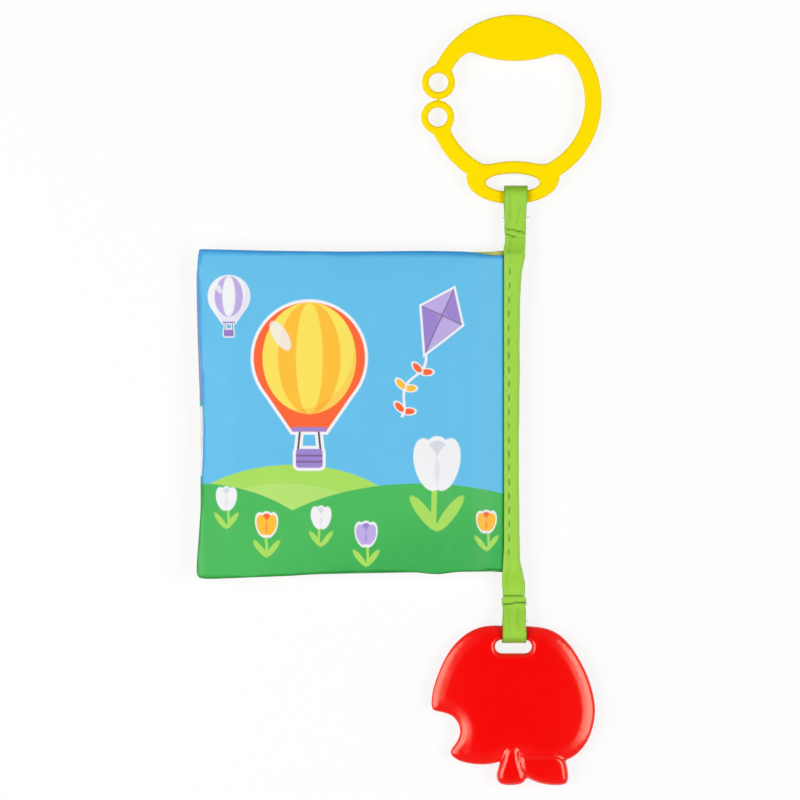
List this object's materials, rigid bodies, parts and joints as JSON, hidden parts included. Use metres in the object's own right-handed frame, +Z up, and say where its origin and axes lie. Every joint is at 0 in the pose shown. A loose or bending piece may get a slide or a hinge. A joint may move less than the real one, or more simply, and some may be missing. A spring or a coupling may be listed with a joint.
{
  "type": "crinkle cloth book",
  "caption": "Soft cloth book with padded crinkle leaves on a fabric spine, with a flat hanging ring at one strap end and a fruit-shaped teether at the other.",
  "frame": {"origin": "the middle of the footprint of the whole object laid flat, at the height of the table", "axes": "+X from the leaves' loose edge to the spine, +Y along the spine to the hanging ring, +Z up from the table through the front cover"},
  "size_m": [0.1723, 0.3276, 0.0108],
  "materials": {
    "printed_fabric": "smooth printed polyester with a slight sheen",
    "crinkle_film": "thin crinkled film",
    "wadding": "soft needled wadding",
    "green_tape": "satin tape",
    "yellow_plastic": "smooth moulded, semi-matte",
    "red_plastic": "glossy moulded"
  },
  "bodies": {
    "spine": {"spine_binding": "green_tape", "front_cover_bound_edge": "printed_fabric", "middle_leaf_bound_edge": "printed_fabric", "back_cover_bound_edge": "printed_fabric"},
    "front_cover": {"front_cover_front_fabric": "printed_fabric", "front_cover_back_fabric": "printed_fabric", "front_cover_crinkle_film": "crinkle_film", "front_cover_wadding": "wadding"},
    "middle_leaf": {"middle_leaf_front_fabric": "printed_fabric", "middle_leaf_back_fabric": "printed_fabric", "middle_leaf_crinkle_film": "crinkle_film", "middle_leaf_wadding": "wadding"},
    "back_cover": {"back_cover_front_fabric": "printed_fabric", "back_cover_back_fabric": "printed_fabric", "back_cover_crinkle_film": "crinkle_film", "back_cover_wadding": "wadding"},
    "upper_strap": {"upper_strap": "green_tape"},
    "lower_strap": {"lower_strap": "green_tape"},
    "hanging_ring": {"hanging_ring": "yellow_plastic"},
    "teether": {"apple_teether": "red_plastic"}
  },
  "joints": [
    {"name": "front_cover_hinge", "type": "hinge", "parent": "spine", "child": "front_cover", "pos_m": [0.04453, -0.00546, 0.0095], "axis": [0, 1, 0], "range_deg": [0, 180]},
    {"name": "middle_leaf_hinge", "type": "hinge", "parent": "spine", "child": "middle_leaf", "pos_m": [0.04453, -0.00546, 0.0095], "axis": [0, 1, 0], "range_deg": [0, 90]},
    {"name": "back_cover_hinge", "type": "hinge", "parent": "spine", "child": "back_cover", "pos_m": [0.04453, -0.00546, 0.0013], "axis": [0, -1, 0], "range_deg": [0, 180]},
    {"name": "upper_strap_bend", "type": "hinge", "parent": "spine", "child": "upper_strap", "pos_m": [0.04958, 0.06954, 0.0054], "axis": [1, 0, 0], "range_deg": [-90, 90], "stiffness_Nm_per_rad": 0.002},
    {"name": "lower_strap_bend", "type": "hinge", "parent": "spine", "child": "lower_strap", "pos_m": [0.04877, -0.08046, 0.0054], "axis": [-1, 0, 0], "range_deg": [-90, 90], "stiffness_Nm_per_rad": 0.002},
    {"name": "ring_swing", "type": "hinge", "parent": "upper_strap", "child": "hanging_ring", "pos_m": [0.04958, 0.08584, 0.00435], "axis": [-1, 0, 0], "range_deg": [-120, 120]},
    {"name": "teether_swing", "type": "hinge", "parent": "lower_strap", "child": "teether", "pos_m": [0.04877, -0.09896, 0.0052], "axis": [1, 0, 0], "range_deg": [-120, 120]}
  ],
  "couplings": [
    {"joint": "middle_leaf_hinge", "follows": "front_cover_hinge", "ratio": 0.5}
  ]
}
